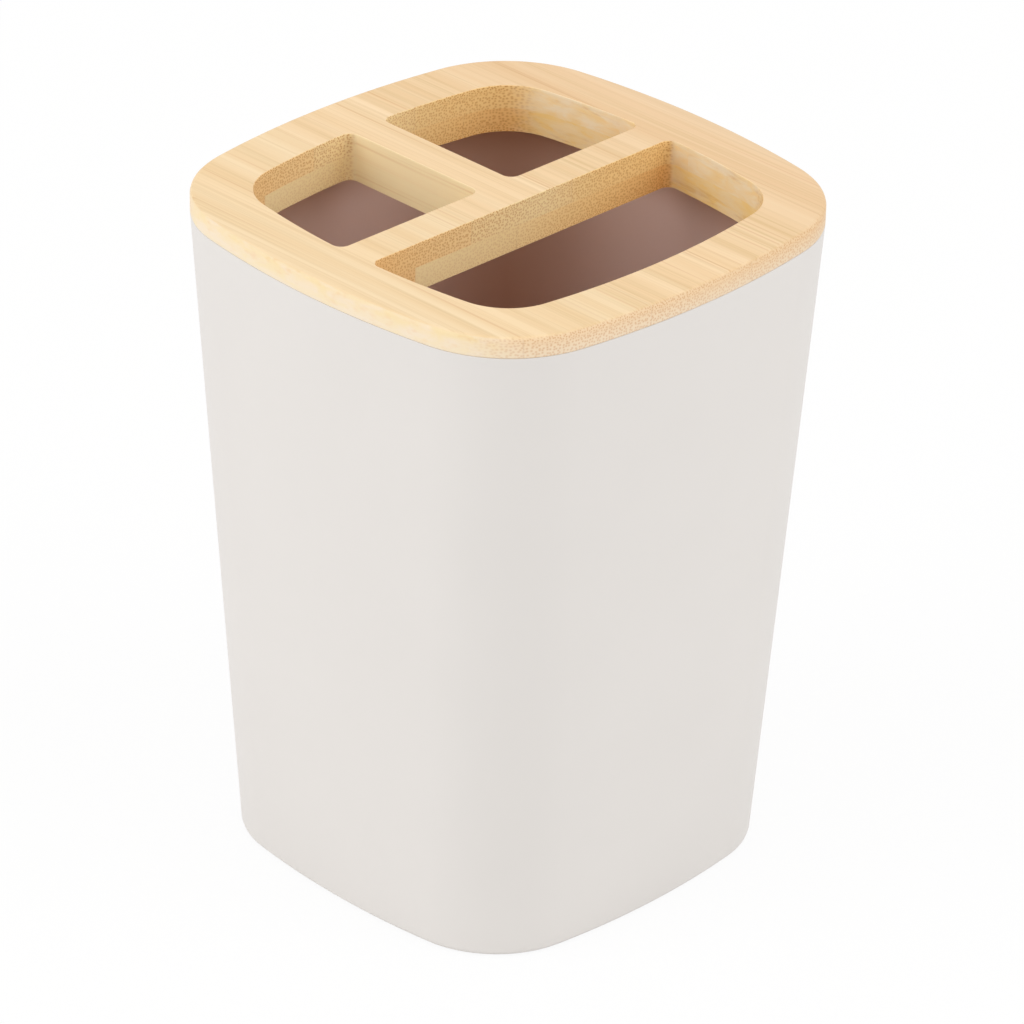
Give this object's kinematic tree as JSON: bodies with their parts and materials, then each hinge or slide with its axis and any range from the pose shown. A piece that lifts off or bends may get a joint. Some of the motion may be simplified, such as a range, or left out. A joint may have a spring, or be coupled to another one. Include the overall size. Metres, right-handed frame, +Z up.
{
  "type": "toothbrush holder",
  "caption": "Tapered cup with bowed sides and rounded corners, closed by a lift-off bamboo lid with one long opening and two short ones behind it.",
  "frame": {"origin": "middle of the base, on the surface that the cup stands on", "axes": "+Z up, +X along the long opening in the lid, +Y from the long opening towards the two short ones"},
  "size_m": [0.075, 0.075, 0.1005],
  "materials": {
    "cup_plastic": "matte moulded, warm pale grey",
    "bamboo_top": "sanded pale bamboo, clear matte lacquer",
    "bamboo_bottom": "sanded pale bamboo, clear matte lacquer"
  },
  "bodies": {
    "cup": {"cup": "cup_plastic"},
    "lid": {"lid_top_ply": "bamboo_top", "lid_bottom_ply": "bamboo_bottom"}
  },
  "joints": [
    {"name": "lid_lift", "type": "slide", "parent": "cup", "child": "lid", "axis": [0, 0, 1], "range_m": [0, 0.04]}
  ]
}
